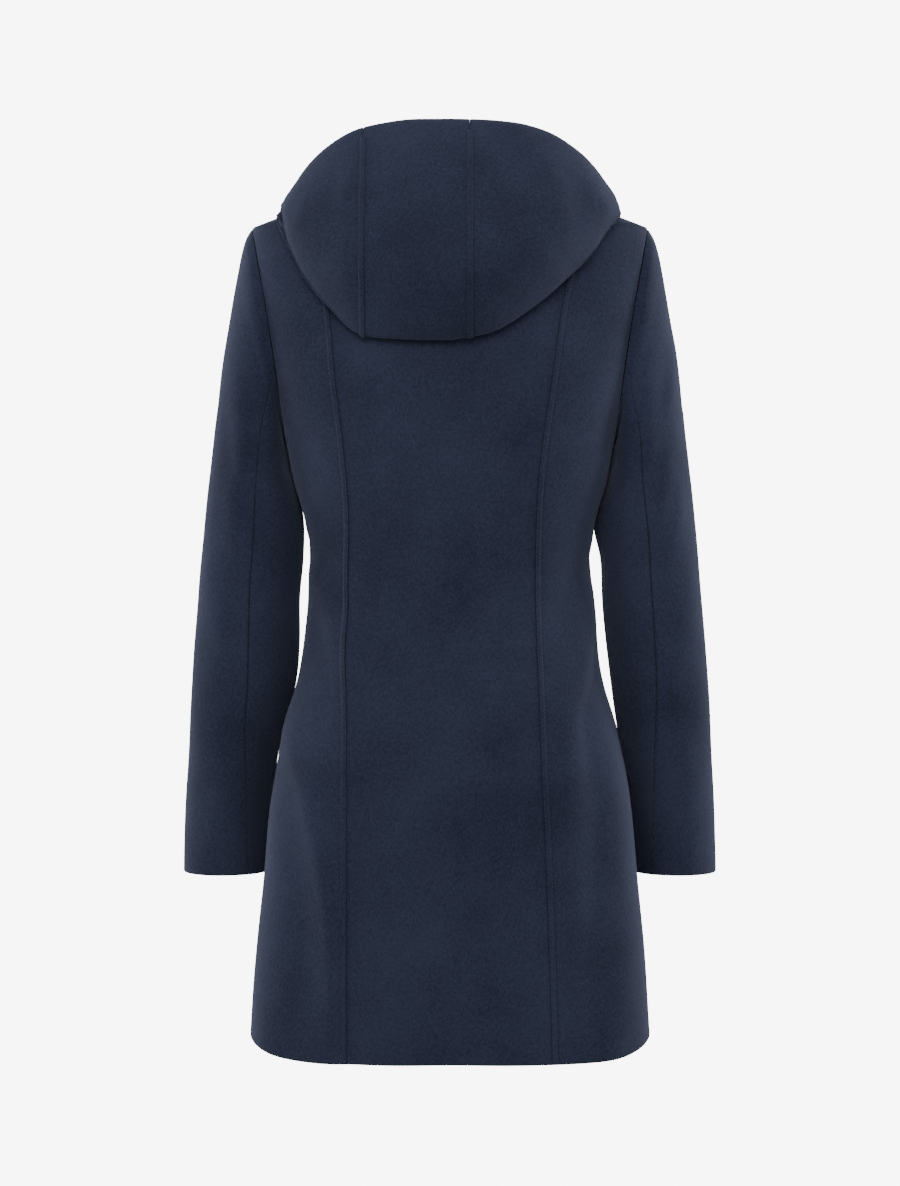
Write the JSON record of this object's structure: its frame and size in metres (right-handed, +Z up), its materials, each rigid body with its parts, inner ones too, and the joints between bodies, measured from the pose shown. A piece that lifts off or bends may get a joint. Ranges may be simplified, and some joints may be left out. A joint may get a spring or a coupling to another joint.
{
  "type": "hooded duffle coat",
  "caption": "Hooded navy wool duffle coat, filled out as worn with its arms hanging and its hood lying back, fastened at the front with horn toggles and cord loops.",
  "frame": {"origin": "centre of the neck at the level of the shoulders, where the wearer carries the coat", "axes": "+Z up, the wearer faces -Y, the wearer's left is +X"},
  "size_m": [0.5384, 0.3113, 0.9053],
  "materials": {
    "wool": "matt milled wool with a short nap",
    "leather": "dark brown grained leather",
    "cord": "round braided cord",
    "horn": "polished horn"
  },
  "bodies": {
    "root": {"back_centre": "wool", "back_side_left": "wool", "back_side_right": "wool", "front_left": "wool", "front_right": "wool", "sleeve_top_left": "wool", "sleeve_under_left": "wool", "sleeve_top_right": "wool", "sleeve_under_right": "wool", "hood_centre": "wool", "hood_side_left": "wool", "hood_side_right": "wool", "tab_left_1": "leather", "tab_right_1": "leather", "cord_right_1": "cord", "cord_left_1": "cord", "toggle_1": "horn", "tab_left_2": "leather", "tab_right_2": "leather", "cord_right_2": "cord", "cord_left_2": "cord", "toggle_2": "horn", "tab_left_3": "leather", "tab_right_3": "leather", "cord_right_3": "cord", "cord_left_3": "cord", "toggle_3": "horn", "tab_left_4": "leather", "tab_right_4": "leather", "cord_right_4": "cord", "cord_left_4": "cord", "toggle_4": "horn"}
  },
  "joints": []
}
